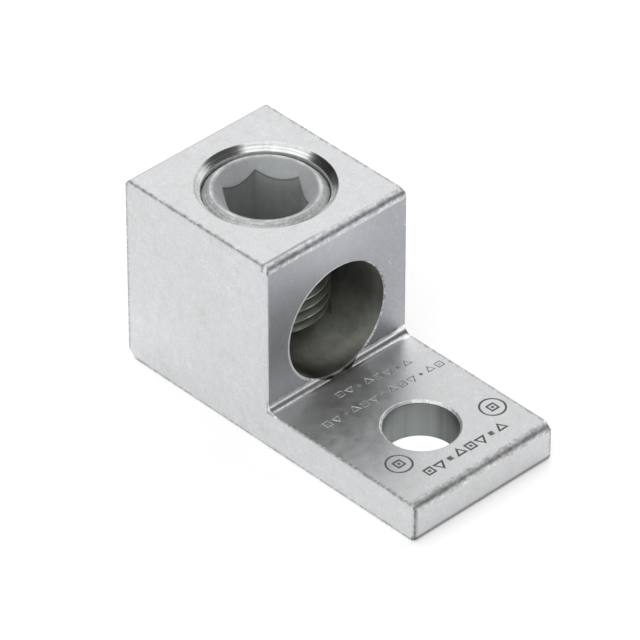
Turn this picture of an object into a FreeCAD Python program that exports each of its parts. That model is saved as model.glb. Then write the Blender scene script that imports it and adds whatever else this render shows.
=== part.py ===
import FreeCAD, Part
import math
import os

import Sketcher

# A mechanical terminal lug for one stranded conductor: a sawn length of L-shaped aluminium bar with
# a wire bore through its barrel, a bolt hole through its tang, and one hex-socket set screw that
# comes down through the barrel's top onto the wire.
# Millimetres. +X runs from the barrel to the tip of the tang, +Y across the bar, +Z up.
# The origin is the middle of the bolt hole, level with the underside.

# Driving sizes: name, value, what it measures.
SIZES = [
    # The bar's profile, seen from the side.
    ("bar_width", 25.4, "width of the bar, one inch"),
    ("lug_length", 55.5, "back of the barrel to the tip of the tang"),
    ("barrel_length", 27.7, "back of the barrel to its front"),
    ("barrel_height", 29.7, "underside to the top of the barrel"),
    ("tang_thickness", 5.95, "underside to the top of the tang"),
    ("crown_front_radius", 1.1, "rounding of the barrel's front top edge"),
    ("crown_back_radius", 0.9, "rounding of the barrel's back top edge"),
    ("heel_radius", 1.8, "rounding of the barrel's back lower edge"),
    ("corner_radius", 1.2, "hollow rounding where the tang meets the barrel"),
    ("tip_top_radius", 1.2, "rounding of the tang's top edge at its tip"),
    ("tip_under_radius", 0.5, "rounding of the tang's lower edge at its tip"),
    ("edge_break", 0.25, "broken edge along both sawn sides"),
    # The wire bore and the bolt hole.
    ("wire_bore_diameter", 17.5, "bore that takes the conductor"),
    ("floor_drop", 0.15, "bore floor below the top of the tang"),
    ("bolt_hole_diameter", 10.32, "hole for a 3/8 inch bolt"),
    ("bolt_hole_to_tip", 11.8, "middle of the bolt hole to the tip of the tang"),
    ("bolt_rim_break", 0.35, "broken edge of the bolt hole's upper rim"),
    # The thread, shared by the screw and its hole.
    ("thread_diameter", 17.46, "crest of the screw's thread, 11/16 inch"),
    ("thread_pitch", 1.5875, "sixteen turns to the inch"),
    ("thread_clearance", 0.05, "screw crest to the wall of its hole"),
    ("sink_diameter", 19.5, "mouth of the 45 degree countersink over the screw hole"),
    ("turns_down", 1.0, "turns that the screw can still be driven from here"),
    ("relief_gap", 0.3, "end of the screw to the ledge below it, fully driven"),
    # The set screw.
    ("screw_length", 19.05, "three quarters of an inch"),
    ("screw_recess", 0.6, "top of the screw below the top of the barrel"),
    ("point_diameter", 16.1, "flat lower end of the screw"),
    ("point_height", 1.1, "bevel between the flat end and the thread"),
    ("rim_diameter", 15.2, "flat top rim of the screw, outside"),
    ("dish_diameter", 14.0, "mouth of the dish inside the rim"),
    ("dish_slope", 50.0, "degrees that the dish falls below the level"),
    ("socket_flats", 10.5, "hexagon across its flats"),
    ("socket_depth", 10.5, "top of the screw to the floor of the hexagon"),
    ("pilot_diameter", 10.1, "drill that opened the socket before it was broached"),
]

# Places worked out from the driving sizes.
BACK = "-(Sizes.lug_length - Sizes.bolt_hole_to_tip)"
FRONT = BACK + " + Sizes.barrel_length"
SCREW_X = BACK + " + Sizes.barrel_length / 2"
BORE_Z = "Sizes.tang_thickness - Sizes.floor_drop + Sizes.wire_bore_diameter / 2"
SCREW_FOOT = "Sizes.barrel_height - Sizes.screw_recess - Sizes.screw_length"
LEDGE_Z = SCREW_FOOT + " - Sizes.turns_down * Sizes.thread_pitch - Sizes.relief_gap"
HOLE_RADIUS = "Sizes.thread_diameter / 2 + Sizes.thread_clearance"

# The thread's groove: 60 degree flanks that meet in a sharp root, a crest an eighth of the pitch wide,
# and how far the cutting section stands out past the crest, as a share of the pitch.
FLANK_SLOPE = math.tan(math.radians(30))
GROOVE_MOUTH_SHARE = 7 / 8
GROOVE_OVERRUN_SHARE = 1 / 16

# Half of the point angle of a twist drill.
DRILL_POINT_SLOPE = math.tan(math.radians(31))

# A sketch's own axes, and the points of a line or an arc, as constraints number them.
HORIZONTAL_AXIS, VERTICAL_AXIS = -1, -2
START, END, CENTRE = 1, 2, 3

# Lengths closer than this are the same.
SAME = 1e-6

doc = FreeCAD.newDocument("TerminalLug")
sheet = doc.addObject("Spreadsheet::Sheet", "Sizes")
for row, (alias, size, meaning) in enumerate(SIZES, start=1):
    sheet.set("A%d" % row, str(size))
    sheet.set("B%d" % row, meaning)
    sheet.setAlias("A%d" % row, alias)
doc.recompute()


def value(formula):
    """What a formula on the sheet comes to now."""
    return float(sheet.evalExpression(formula))


def point(x, y):
    return FreeCAD.Vector(x, y, 0)


def new_body(label):
    body = doc.addObject("PartDesign::Body", label)
    body.Label = label
    return body


def new_sketch(body, name, plane_role, offset=None):
    """A sketch on one of the body's own origin planes, moved by formulas for x, y or z."""
    sketch = body.newObject("Sketcher::SketchObject", name)
    plane = next(f for f in body.Origin.OriginFeatures if f.Role == plane_role)
    sketch.AttachmentSupport = [(plane, "")]
    sketch.MapMode = "FlatFace"
    for direction, formula in (offset or {}).items():
        sketch.setExpression(".AttachmentOffset.Base." + direction, formula)
    return sketch


def set_size(sketch, name, constraint, formula):
    """Add a constraint that has a size, and tie the size to the sheet."""
    sketch.renameConstraint(sketch.addConstraint(constraint), name)
    sketch.setExpression("Constraints." + name, formula)


def place_point(sketch, name, geometry, end, direction, formula):
    """Hold one coordinate of a point at a formula's distance from the sketch's own origin."""
    distance = value(formula)
    kind = "Distance" + direction
    if abs(distance) < SAME:
        axis = VERTICAL_AXIS if direction == "X" else HORIZONTAL_AXIS
        sketch.addConstraint(Sketcher.Constraint("PointOnObject", geometry, end, axis))
    elif distance > 0:
        constraint = Sketcher.Constraint(kind, -1, START, geometry, end, distance)
        set_size(sketch, name, constraint, formula)
    else:
        constraint = Sketcher.Constraint(kind, geometry, end, -1, START, -distance)
        set_size(sketch, name, constraint, "-(" + formula + ")")


def draw_polygon(sketch, corners):
    """A closed outline with sharp corners. Each corner is a name and two formulas."""
    places = [point(value(x), value(y)) for _, x, y in corners]
    for index, place in enumerate(places):
        following = places[(index + 1) % len(places)]
        sketch.addGeometry(Part.LineSegment(place, following), False)
    for index, (name, x, y) in enumerate(corners):
        previous = (index - 1) % len(corners)
        sketch.addConstraint(Sketcher.Constraint("Coincident", previous, END, index, START))
        place_point(sketch, name + "_across", index, START, "X", x)
        place_point(sketch, name + "_up", index, START, "Y", y)


def draw_circle(sketch, diameter_formula, height_formula):
    """A circle centred on the sketch's vertical axis."""
    centre = point(0, value(height_formula))
    circle = Part.Circle(centre, FreeCAD.Vector(0, 0, 1), value(diameter_formula) / 2)
    index = sketch.addGeometry(circle, False)
    sketch.addConstraint(Sketcher.Constraint("PointOnObject", index, CENTRE, VERTICAL_AXIS))
    place_point(sketch, "centre_up", index, CENTRE, "Y", height_formula)
    diameter = Sketcher.Constraint("Diameter", index, value(diameter_formula))
    set_size(sketch, "diameter", diameter, diameter_formula)


def draw_rounded_steps(sketch, sides, radii):
    """A closed outline of level and upright sides in turn, with an arc at each corner.

    Each side is a name, "level" or "upright", and the formula of its height or its place along X.
    The first radius is the one between the first side and the second, and the outline runs
    anticlockwise.
    """
    count = len(sides)

    def meet(first, second):
        """Where two neighbouring sides would cross."""
        level, upright = (first, second) if first[1] == "level" else (second, first)
        return point(value(upright[2]), value(level[2]))

    corners = [meet(sides[i], sides[(i + 1) % count]) for i in range(count)]
    lengths = [value(formula) for formula in radii]
    headings = [(corners[i] - corners[i - 1]).normalize() for i in range(count)]
    for i, (name, kind, formula) in enumerate(sides):
        start = corners[i - 1] + headings[i] * lengths[i - 1]
        finish = corners[i] - headings[i] * lengths[i]
        sketch.addGeometry(Part.LineSegment(start, finish), False)
        straight = "Horizontal" if kind == "level" else "Vertical"
        sketch.addConstraint(Sketcher.Constraint(straight, i))
        place_point(sketch, name, i, START, "Y" if kind == "level" else "X", formula)
    for i in range(count):
        ahead = headings[(i + 1) % count]
        turns_left = headings[i].cross(ahead).z > 0
        centre = corners[i] - headings[i] * lengths[i] + ahead * lengths[i]
        spoke = ahead * -1 if turns_left else headings[i]
        begin = math.atan2(spoke.y, spoke.x)
        circle = Part.Circle(centre, FreeCAD.Vector(0, 0, 1), lengths[i])
        arc = sketch.addGeometry(Part.ArcOfCircle(circle, begin, begin + math.pi / 2), False)
        arrive, leave = (START, END) if turns_left else (END, START)
        following = (i + 1) % count
        sketch.addConstraint(Sketcher.Constraint("Tangent", i, END, arc, arrive))
        sketch.addConstraint(Sketcher.Constraint("Tangent", arc, leave, following, START))
        radius = Sketcher.Constraint("Radius", arc, lengths[i])
        set_size(sketch, sides[i][0] + "_end_radius", radius, radii[i])


def draw_hexagon(sketch, flats_formula):
    """A regular hexagon about the origin, with one corner on the vertical axis."""
    corner_formula = flats_formula + " / cos(30)"
    reach = value(corner_formula) / 2
    angles = [math.radians(90 + 60 * side) for side in range(6)]
    corners = [point(reach * math.cos(a), reach * math.sin(a)) for a in angles]
    for side in range(6):
        line = Part.LineSegment(corners[side], corners[(side + 1) % 6])
        sketch.addGeometry(line, False)
    guide = sketch.addGeometry(Part.Circle(point(0, 0), FreeCAD.Vector(0, 0, 1), reach), True)
    sketch.addConstraint(Sketcher.Constraint("Coincident", guide, CENTRE, -1, START))
    sketch.addConstraint(Sketcher.Constraint("PointOnObject", 0, START, VERTICAL_AXIS))
    for side in range(6):
        sketch.addConstraint(Sketcher.Constraint("Coincident", side, END, (side + 1) % 6, START))
        sketch.addConstraint(Sketcher.Constraint("PointOnObject", side, START, guide))
    for side in range(1, 6):
        sketch.addConstraint(Sketcher.Constraint("Equal", 0, side))
    diameter = Sketcher.Constraint("Diameter", guide, 2 * reach)
    set_size(sketch, "across_corners", diameter, corner_formula)


def revolve(body, kind, name, sketch):
    """Turn a sketch about its own vertical axis: a Revolution adds, a Groove cuts."""
    feature = body.newObject("PartDesign::" + kind, name)
    feature.Profile = sketch
    feature.ReferenceAxis = (sketch, ["V_Axis"])
    feature.Angle = 360
    return feature


def edge_names(shape, wanted):
    """The names of the edges that pass a test."""
    return ["Edge%d" % number for number, edge in enumerate(shape.Edges, start=1) if wanted(edge)]


def break_edges(body, name, base, size_formula, wanted):
    """Chamfer the edges of a finished feature that pass a test."""
    chamfer = body.newObject("PartDesign::Chamfer", name)
    chamfer.Base = (base, edge_names(base.Shape, wanted))
    chamfer.setExpression("Size", size_formula)
    return chamfer


def make_lug_body():
    body = new_body("lug_body")

    # The extruded bar, seen from its side, and its width.
    profile = new_sketch(body, "bar_profile", "XZ_Plane")
    sides = [
        ("underside", "level", "0"),
        ("tip", "upright", "Sizes.bolt_hole_to_tip"),
        ("tang_top", "level", "Sizes.tang_thickness"),
        ("barrel_front", "upright", FRONT),
        ("barrel_top", "level", "Sizes.barrel_height"),
        ("barrel_back", "upright", BACK),
    ]
    radii = [
        "Sizes.tip_under_radius",
        "Sizes.tip_top_radius",
        "Sizes.corner_radius",
        "Sizes.crown_front_radius",
        "Sizes.crown_back_radius",
        "Sizes.heel_radius",
    ]
    draw_rounded_steps(profile, sides, radii)
    bar = body.newObject("PartDesign::Pad", "bar")
    bar.Profile = profile
    bar.setExpression("Length", "Sizes.bar_width")
    bar.Midplane = True
    doc.recompute()

    # Both sawn sides have their sharp edges taken off.
    def on_a_side(edge):
        return edge.BoundBox.YLength < SAME

    sides_broken = break_edges(body, "sides_broken", bar, "Sizes.edge_break", on_a_side)
    doc.recompute()

    # The wire bore runs from the barrel's back out through its front and the hollow corner.
    offset = {"z": FRONT + " + Sizes.corner_radius"}
    mouth = new_sketch(body, "wire_bore_circle", "YZ_Plane", offset)
    draw_circle(mouth, "Sizes.wire_bore_diameter", BORE_Z)
    wire_bore = body.newObject("PartDesign::Pocket", "wire_bore")
    wire_bore.Profile = mouth
    wire_bore.Type = "ThroughAll"
    doc.recompute()

    # The screw hole: a ledge below the screw, a plain wall at the thread's crest, a countersink.
    section = new_sketch(body, "screw_hole_section", "XZ_Plane", {"x": SCREW_X})
    sink_foot = "Sizes.barrel_height - (Sizes.sink_diameter / 2 - (" + HOLE_RADIUS + "))"
    draw_polygon(section, [
        ("ledge_middle", "0", LEDGE_Z),
        ("ledge_edge", HOLE_RADIUS, LEDGE_Z),
        ("sink_foot", HOLE_RADIUS, sink_foot),
        ("sink_mouth", "Sizes.sink_diameter / 2", "Sizes.barrel_height"),
        ("top_middle", "0", "Sizes.barrel_height"),
    ])
    screw_hole = revolve(body, "Groove", "screw_hole", section)
    doc.recompute()

    # The bolt hole, with its upper rim broken.
    section = new_sketch(body, "bolt_hole_section", "XZ_Plane")
    hole_edge = "Sizes.bolt_hole_diameter / 2"
    draw_polygon(section, [
        ("underside_middle", "0", "0"),
        ("underside_edge", hole_edge, "0"),
        ("rim_foot", hole_edge, "Sizes.tang_thickness - Sizes.bolt_rim_break"),
        ("rim_edge", hole_edge + " + Sizes.bolt_rim_break", "Sizes.tang_thickness"),
        ("tang_top_middle", "0", "Sizes.tang_thickness"),
    ])
    bolt_hole = revolve(body, "Groove", "bolt_hole", section)
    doc.recompute()
    check_cuts([bar, sides_broken, wire_bore, screw_hole, bolt_hole])
    return body


def make_clamp_screw():
    body = new_body("clamp_screw")

    # The turned blank, its foot on the body's own origin.
    crest = "Sizes.thread_diameter / 2"
    rim = "Sizes.rim_diameter / 2"
    top = "Sizes.screw_length"
    section = new_sketch(body, "blank_section", "XZ_Plane")
    draw_polygon(section, [
        ("foot_middle", "0", "0"),
        ("foot_edge", "Sizes.point_diameter / 2", "0"),
        ("crest_foot", crest, "Sizes.point_height"),
        ("crest_top", crest, top + " - (" + crest + " - " + rim + ")"),
        ("rim_edge", rim, top),
        ("top_middle", "0", top),
    ])
    blank = revolve(body, "Revolution", "blank", section)
    doc.recompute()

    # One turn of the thread's groove, drawn a pitch below the foot and wound up past the top.
    depth = "%.4f * Sizes.thread_pitch" % (GROOVE_MOUTH_SHARE / 2 / FLANK_SLOPE)
    overrun = "%.4f * Sizes.thread_pitch" % GROOVE_OVERRUN_SHARE
    half_width = "(" + depth + " + " + overrun + ") * %.4f" % FLANK_SLOPE
    middle = "-Sizes.thread_pitch"
    groove = new_sketch(body, "groove_section", "XZ_Plane")
    draw_polygon(groove, [
        ("root", crest + " - " + depth, middle),
        ("mouth_low", crest + " + " + overrun, middle + " - " + half_width),
        ("mouth_high", crest + " + " + overrun, middle + " + " + half_width),
    ])
    thread = body.newObject("PartDesign::SubtractiveHelix", "thread")
    thread.Profile = groove
    thread.ReferenceAxis = (groove, ["V_Axis"])
    thread.Mode = "pitch-height-angle"
    thread.setExpression("Pitch", "Sizes.thread_pitch")
    thread.setExpression("Height", top + " + 2 * Sizes.thread_pitch")
    doc.recompute()

    # The dish inside the rim, turned as a cone whose tip falls inside the hexagon.
    cone = new_sketch(body, "dish_section", "XZ_Plane")
    dish = "Sizes.dish_diameter / 2"
    draw_polygon(cone, [
        ("dish_tip", "0", top + " - " + dish + " * tan(Sizes.dish_slope)"),
        ("dish_edge", dish, top),
        ("dish_middle", "0", top),
    ])
    dish_cut = revolve(body, "Groove", "dish", cone)
    doc.recompute()

    # The broached hexagon, flats facing along the bar, and the point left by its pilot drill.
    hexagon = new_sketch(body, "socket_hexagon", "XY_Plane", {"z": top})
    draw_hexagon(hexagon, "Sizes.socket_flats")
    socket = body.newObject("PartDesign::Pocket", "socket")
    socket.Profile = hexagon
    socket.setExpression("Length", "Sizes.socket_depth")
    doc.recompute()
    point_section = new_sketch(body, "pilot_section", "XZ_Plane")
    floor = top + " - Sizes.socket_depth"
    pilot = "Sizes.pilot_diameter / 2"
    draw_polygon(point_section, [
        ("pilot_tip", "0", floor + " - %.4f * " % DRILL_POINT_SLOPE + pilot),
        ("pilot_edge", pilot, floor),
        ("pilot_middle", "0", floor),
    ])
    pilot_point = revolve(body, "Groove", "pilot_point", point_section)
    doc.recompute()
    check_cuts([blank, thread, dish_cut, socket, pilot_point])

    # The screw stands in its hole, recessed a little below the barrel's top.
    body.setExpression(".Placement.Base.x", SCREW_X)
    body.setExpression(".Placement.Base.z", SCREW_FOOT)
    doc.recompute()
    return body


def check_cuts(features):
    """Stop if a feature after the first took no material away from the one before it."""
    for before, after in zip(features, features[1:]):
        if after.Shape.Volume >= before.Shape.Volume - SAME:
            raise RuntimeError(after.Name + " removes nothing")


def check_document():
    """Stop if any object of the document failed to rebuild."""
    for item in doc.Objects:
        if "Invalid" in item.State or "Error" in item.State:
            raise RuntimeError(item.Name + " failed to rebuild")


def write_step(body):
    """Write one sub-part, under its label, after checking that it is one sound solid."""
    shape = body.Shape
    if shape.isNull() or not shape.isValid() or len(shape.Solids) != 1:
        raise RuntimeError(body.Label + " is not one sound solid")
    shape.exportStep("parts/" + body.Label + ".step")


lug_body = make_lug_body()
clamp_screw = make_clamp_screw()
check_document()
os.makedirs("parts", exist_ok=True)
for piece in (lug_body, clamp_screw):
    write_step(piece)
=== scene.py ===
import math
from contextlib import contextmanager
from functools import reduce
from types import SimpleNamespace

import bmesh
import bpy
import numpy as np
from mathutils import Matrix, Vector
from mathutils.geometry import delaunay_2d_cdt


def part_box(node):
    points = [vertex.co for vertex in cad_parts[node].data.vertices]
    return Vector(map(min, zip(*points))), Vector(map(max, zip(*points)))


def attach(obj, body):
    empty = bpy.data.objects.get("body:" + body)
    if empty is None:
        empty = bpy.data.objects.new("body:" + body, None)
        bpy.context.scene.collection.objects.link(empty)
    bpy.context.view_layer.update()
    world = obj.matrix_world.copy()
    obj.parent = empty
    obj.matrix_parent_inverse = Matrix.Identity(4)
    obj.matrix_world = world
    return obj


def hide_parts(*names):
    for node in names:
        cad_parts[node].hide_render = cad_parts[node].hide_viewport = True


# The looks of a mechanical terminal lug in tin-plated aluminium, with its hex-socket set screw.
# Metres, in the frame of the solids: +X from the barrel to the tip of the tang, +Z up, and the
# origin in the middle of the bolt hole, level with the underside.

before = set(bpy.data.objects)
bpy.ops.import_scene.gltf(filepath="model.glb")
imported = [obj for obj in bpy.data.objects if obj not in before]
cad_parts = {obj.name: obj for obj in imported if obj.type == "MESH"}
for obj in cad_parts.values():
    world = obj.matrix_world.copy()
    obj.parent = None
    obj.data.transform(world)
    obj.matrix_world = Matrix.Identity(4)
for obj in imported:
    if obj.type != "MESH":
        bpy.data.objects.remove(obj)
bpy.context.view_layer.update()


MM = 0.001

# The camera, found by fitting the lug's own corners to the photograph.
CAMERA_AZIMUTH = math.radians(46.246)
CAMERA_ELEVATION = math.radians(37.5564)
CAMERA_ROLL = math.radians(0.029)
CAMERA_DISTANCE = 844.35 * MM
CAMERA_LENS = 355.28
CAMERA_AIM = Vector((-17.7, 0.0, 12.0)) * MM
AIM_SHIFT_RIGHT = -1.1638 * MM
AIM_SHIFT_UP = 1.3392 * MM

# Places read from the frame, and the sizes that go with them.
LUG_LOW, LUG_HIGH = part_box("lug_body")
SCREW_LOW, SCREW_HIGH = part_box("clamp_screw")
TANG_TOP = 5.95 * MM
BORE_RADIUS = 8.75 * MM
BORE_Z = 14.55 * MM
SCREW_X = (SCREW_LOW.x + SCREW_HIGH.x) / 2
SCREW_FOOT = SCREW_LOW.z
SCREW_LENGTH = SCREW_HIGH.z - SCREW_LOW.z
HOLE_RADIUS = 8.78 * MM
LEDGE_Z = 8.1625 * MM
SINK_RADIUS = 9.75 * MM
BOLT_RADIUS = 5.16 * MM
BARREL_TOP = LUG_HIGH.z
BARREL_FRONT = -16.0 * MM

# The thread: crest radius, pitch, and a groove whose 60 degree flanks leave a crest an eighth wide.
CREST_RADIUS = 8.73 * MM
PITCH = 1.5875 * MM
GROOVE_DEPTH = 0.6134 * PITCH
GROOVE_MOUTH = 7 / 8 * PITCH
FLANK = math.tan(math.radians(30))


# Meshes


SAME_POINT = 0.0001 * MM
ON_PLANE = 0.01 * MM


@contextmanager
def opened(mesh):
    """A mesh opened for work on its faces and edges, and written back afterwards."""
    form = bmesh.new()
    form.from_mesh(mesh)
    yield form
    form.to_mesh(mesh)
    form.free()


def close_up(mesh):
    """Join points that lie together, drop what has no area, and turn every face outwards."""
    with opened(mesh) as form:
        bmesh.ops.remove_doubles(form, verts=form.verts, dist=SAME_POINT)
        bmesh.ops.dissolve_degenerate(form, edges=form.edges, dist=SAME_POINT)
        bmesh.ops.recalc_face_normals(form, faces=form.faces)
    return mesh


def numbered(points):
    """The numbers of points that stand in rows, and of each point's neighbour round its row."""
    index = np.arange(points.shape[0] * points.shape[1]).reshape(points.shape[:2])
    return index, np.roll(index, -1, axis=1)


def closed_mesh(name, points, index, onward, ends=()):
    """A surface of four-sided faces between rows of points, with faces of its own at the ends."""
    quads = np.stack([index[:-1], onward[:-1], onward[1:], index[1:]], axis=-1).reshape(-1, 4)
    mesh = bpy.data.meshes.new(name)
    mesh.from_pydata(points.reshape(-1, 3).tolist(), [], quads.tolist() + list(ends))
    return close_up(mesh)


def add_piece(name, mesh, body=None):
    """Put a mesh in the scene as an object at the origin, and let it ride on a body."""
    piece = bpy.data.objects.new(name, mesh)
    bpy.context.scene.collection.objects.link(piece)
    if body:
        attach(piece, body)
    return piece


def merged_copy(node):
    """A copy of a solid's mesh with its loose triangles joined and its flat faces made whole."""
    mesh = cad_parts[node].data.copy()
    mesh.materials.clear()
    flat = math.radians(0.2)
    with opened(mesh) as form:
        bmesh.ops.remove_doubles(form, verts=form.verts, dist=SAME_POINT)
        bmesh.ops.dissolve_limit(form, angle_limit=flat, verts=form.verts, edges=form.edges)
    return mesh


def smooth_by_angle(mesh, degrees):
    """Shade a mesh smooth, apart from edges that turn by more than an angle."""
    limit = math.radians(degrees)
    with opened(mesh) as form:
        for edge in form.edges:
            edge.smooth = len(edge.link_faces) == 2 and edge.calc_face_angle(0) < limit
        for face in form.faces:
            face.smooth = True


def apply_modifiers(piece):
    """Make what a piece's modifiers give its own mesh."""
    bpy.context.view_layer.update()
    shaped = piece.evaluated_get(bpy.context.evaluated_depsgraph_get())
    mesh = bpy.data.meshes.new_from_object(shaped)
    piece.modifiers.clear()
    old = piece.data
    piece.data = mesh
    bpy.data.meshes.remove(old)


def cut_away(piece, cutter_mesh):
    """Take one closed mesh away from a piece."""
    cutter = bpy.data.objects.new("cutter", cutter_mesh)
    bpy.context.scene.collection.objects.link(cutter)
    cut = piece.modifiers.new("cut", "BOOLEAN")
    cut.operation = "DIFFERENCE"
    cut.solver = "EXACT"
    cut.object = cutter
    apply_modifiers(piece)
    bpy.data.objects.remove(cutter)


# Stamped marks on the tang: plain rings, and rows of squares, triangles and punched pits. They
# stand where the photographed lug has print, and spell nothing.

RING_RADIUS = 1.8 * MM
RING_CORNERS = 40
RING_PLACES = ((3.81, 9.61), (3.84, -7.83))
MARK_ROW = ((7.7, -5.95), (7.65, 7.43), 8)
FAINT_ROWS = (((-12.1, -3.2), (-10.85, 8.0), 8), ((-8.66, -8.85), (-7.7, 11.0), 13))
BOLT_RIM_RADIUS = 5.51 * MM
QUARTER = math.pi / 4
# A mark's reach from its middle, and the width and depth of its stroke.
BOLD = (0.84 * MM, 0.3 * MM, 0.2 * MM)
FAINT = (0.7 * MM, 0.19 * MM, 0.055 * MM)


def loop(x, y, radius, corners, turn, depth):
    """A regular polygon's corners round a centre, at a depth under the tang's top face."""
    angle = np.linspace(0, 2 * math.pi, corners, endpoint=False) + turn
    across, along = x + radius * np.cos(angle), y + radius * np.sin(angle)
    return np.stack([across, along, np.full_like(angle, TANG_TOP - depth)], axis=-1)


def groove(x, y, radius, width, depth, corners, turn=0.0):
    """A V groove along a polygon: its two borders on the face, and its bottom between them."""
    half = width / 2 / math.cos(math.pi / corners)
    section = ((-half, 0), (0, depth), (half, 0))
    return [loop(x, y, radius + out, corners, turn, down) for out, down in section]


def pit(x, y, radius, depth):
    """A punched pit: a square on the face, and a tenth of it at nine tenths of the depth."""
    return [loop(x, y, radius * part, 4, QUARTER, depth * (1 - part)) for part in (1, 0.1)]


def mark(kind, x, y, size):
    """One of four plain marks: a dotted square, a triangle, a solid square, the triangle turned."""
    radius, width, depth = size
    if kind == 0:
        dot = pit(x, y, radius * 0.4, depth)
        return groove(x, y, radius, width, depth, 4, QUARTER) + dot
    if kind == 2:
        return pit(x, y, radius * 0.7, depth * 1.4)
    return groove(x, y, radius, width, depth, 3, 0 if kind == 1 else math.pi)


def stamped_loops():
    """The outlines and bottom lines of every mark."""
    loops = []
    for x, y in np.array(RING_PLACES) * MM:
        loops += groove(x, y, RING_RADIUS, *BOLD[1:], RING_CORNERS) + mark(0, x, y, BOLD)
    for (start, end, count), size in ((MARK_ROW, BOLD), *((row, FAINT) for row in FAINT_ROWS)):
        for step, (x, y) in enumerate(np.linspace(start, end, count) * MM):
            loops += mark(step % 4, x, y, size)
    return loops


def stamp_tang(mesh):
    """Cut the tang's flat top anew, with the marks sunk in it.

    The face's own outline and the marks' loops are the fixed edges of a Delaunay triangulation.
    Each point keeps its loop's height. The triangles that would fill the bolt hole are left out.
    """
    inside_fixed_edges = 1
    closeness = 1e-6
    with opened(mesh) as form:
        top = [
            face for face in form.faces
            if face.normal.z > 0.999 and abs(face.calc_center_median().z - TANG_TOP) < 0.001 * MM
        ]
        old = set(top)
        border = [edge for edge in form.edges if sum(face in old for face in edge.link_faces) == 1]
        corners = list(dict.fromkeys(vert for edge in border for vert in edge.verts))
        number = {vert: place for place, vert in enumerate(corners)}
        fixed = [[number[vert] for vert in edge.verts] for edge in border]
        places = np.array([vert.co for vert in corners])
        bmesh.ops.delete(form, geom=top, context="FACES")
        for points in stamped_loops():
            index = np.arange(len(points)) + len(places)
            fixed += np.stack([index, np.roll(index, -1)], axis=-1).tolist()
            places = np.concatenate([places, points])
        flat = [Vector(place) for place in (places[:, :2] / MM).tolist()]
        made = delaunay_2d_cdt(flat, fixed, [], inside_fixed_edges, closeness)
        faces, sources = np.array(made[2]), made[3]
        places = places[[source[0] for source in sources]]
        on_rim = np.abs(np.hypot(places[:, 0], places[:, 1]) - BOLT_RIM_RADIUS) < ON_PLANE
        faces = faces[~on_rim[faces].all(axis=1)]
        stamped = bpy.data.meshes.new("stamped")
        stamped.from_pydata(places.tolist(), [], faces.tolist())
        form.from_mesh(stamped)
        bpy.data.meshes.remove(stamped)
    return close_up(mesh)


# Lug body

RIM_BREAK = 0.2 * MM
EDGE_BREAK_SHARE = 0.32
SHARP_FROM = math.radians(24)
HALF_WIDTH = LUG_HIGH.y
SAWN_BREAK = 0.25 * MM
SAWN_BREAK_SEEN = 0.07 * MM
# The part of the tang's top face that holds the stamped marks, outside the bolt hole's rim.
MARKS_FROM, MARKS_TO, MARKS_REACH = -13.5 * MM, 10.4 * MM, 12.2 * MM
MARKS_CLEAR_OF_BOLT = 5.6 * MM


def narrow_sawn_edges(mesh):
    """Draw the broken edges along the sawn sides as narrow as the photographed outline shows them.

    A side face's border point moves out to where its nearest point across the break lies, and that
    one moves out to the side, each by the share of the break that is given up.
    """
    share = 1 - SAWN_BREAK_SEEN / SAWN_BREAK
    places = np.empty(len(mesh.vertices) * 3)
    mesh.vertices.foreach_get("co", places)
    places = places.reshape(-1, 3)
    reach = np.abs(places[:, 1])
    on_side = np.flatnonzero(reach > HALF_WIDTH - ON_PLANE)
    across = np.flatnonzero(np.abs(reach - HALF_WIDTH + SAWN_BREAK) < ON_PLANE)
    way = places[across][None, :, :] - places[on_side][:, None, :]
    nearest = np.linalg.norm(way, axis=-1).argmin(axis=1)
    shift = way[np.arange(len(on_side)), nearest]
    places[on_side, 0] += shift[:, 0] * share
    places[on_side, 2] += shift[:, 2] * share
    places[across, 1] += np.sign(places[across, 1]) * SAWN_BREAK * share
    mesh.vertices.foreach_set("co", places.ravel())
    mesh.update()
    return mesh


# Outward directions of the outer corners on the +Y side, and how deep tumbling has worn each.
CORNER_WEAR = (
    ((1, 1, -1), 0.2 * MM),
    ((1, 1, 1), 0.16 * MM),
    ((-1, 1, 1), 0.14 * MM),
    ((-1, 1, -1), 0.14 * MM),
    ((1, 2, 4), 0.12 * MM),
)


def wear_corners(mesh):
    """Cut a small facet off each outer corner, where tumbling wears an edge most.

    A corner is the mesh's farthest point in a direction, and its facet stands square to that.
    """
    with opened(mesh) as form:
        for (x, y, z), depth in CORNER_WEAR:
            for side in (-1, 1):
                outward = Vector((x, y * side, z)).normalized()
                far = (np.array([vert.co for vert in form.verts]) @ np.array(outward)).max()
                cut = bmesh.ops.bisect_plane(
                    form, geom=form.verts[:] + form.edges[:] + form.faces[:],
                    plane_co=outward * (far - depth), plane_no=outward, clear_outer=True,
                )
                border = [part for part in cut["geom_cut"] if isinstance(part, bmesh.types.BMEdge)]
                bmesh.ops.edgenet_fill(form, edges=border)
    return close_up(mesh)


def on_sawn_break(edge, place):
    """Whether an edge belongs to the broken edges along the sawn sides or to a worn corner."""
    slanted = any(0.3 < abs(face.normal.y) < 0.95 for face in edge.link_faces)
    on_corner = slanted and abs(place.y) > HALF_WIDTH - 1 * MM
    return on_corner or abs(place.y) > HALF_WIDTH - SAWN_BREAK_SEEN * 1.1


def stays_sharp(place):
    """Whether a place is in a stamped mark, or where the wire bore's floor runs into the tang."""
    from_bolt = math.hypot(place.x, place.y)
    by_tang = place.x > -15.4 * MM and place.z < 6.5 * MM and abs(place.y) < 3 * MM
    marked = abs(place.y) < MARKS_REACH and MARKS_FROM < place.x < MARKS_TO and place.z > 5 * MM
    return (by_tang and from_bolt > 14 * MM) or (marked and from_bolt > MARKS_CLEAR_OF_BOLT)


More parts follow.
